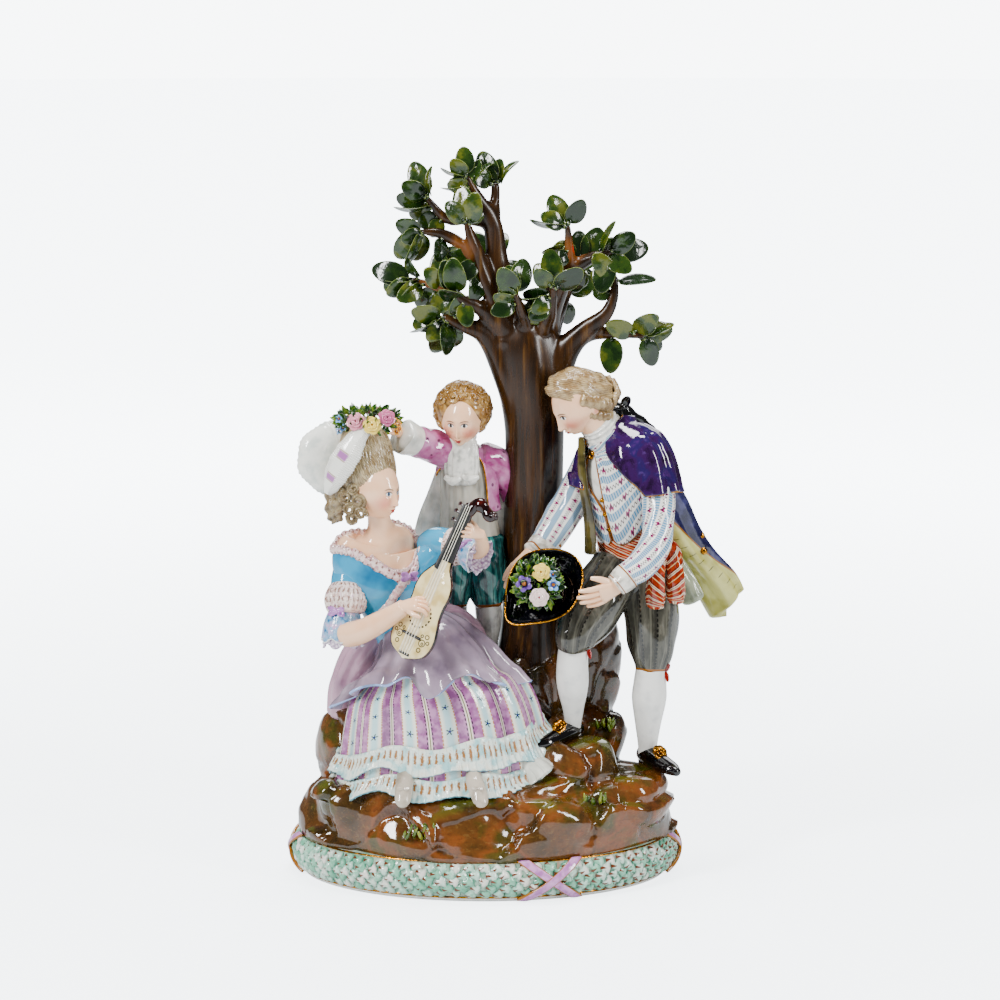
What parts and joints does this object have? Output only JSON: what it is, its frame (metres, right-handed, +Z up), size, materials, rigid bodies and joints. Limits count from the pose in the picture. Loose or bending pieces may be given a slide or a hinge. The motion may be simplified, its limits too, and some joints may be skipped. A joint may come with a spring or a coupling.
{
  "type": "porcelain figure group",
  "caption": "Glazed porcelain figure group on an oval plinth: a lady with a mandolin, a boy and a man with a hat of flowers under a tree.",
  "frame": {"origin": "middle of the plinth's flat underside, on the surface it stands on", "axes": "+Z up, +Y away from the viewer of the group's front, +X to the viewer's right along the plinth's long side"},
  "size_m": [0.2104, 0.1252, 0.3268],
  "materials": {
    "porcelain": "clear glazed white porcelain, glossy",
    "enamel": "overglaze enamel colours on porcelain, glossy",
    "gilding": "burnished gilding on glaze"
  },
  "bodies": {
    "root": {"figure_group": "porcelain"}
  },
  "joints": []
}
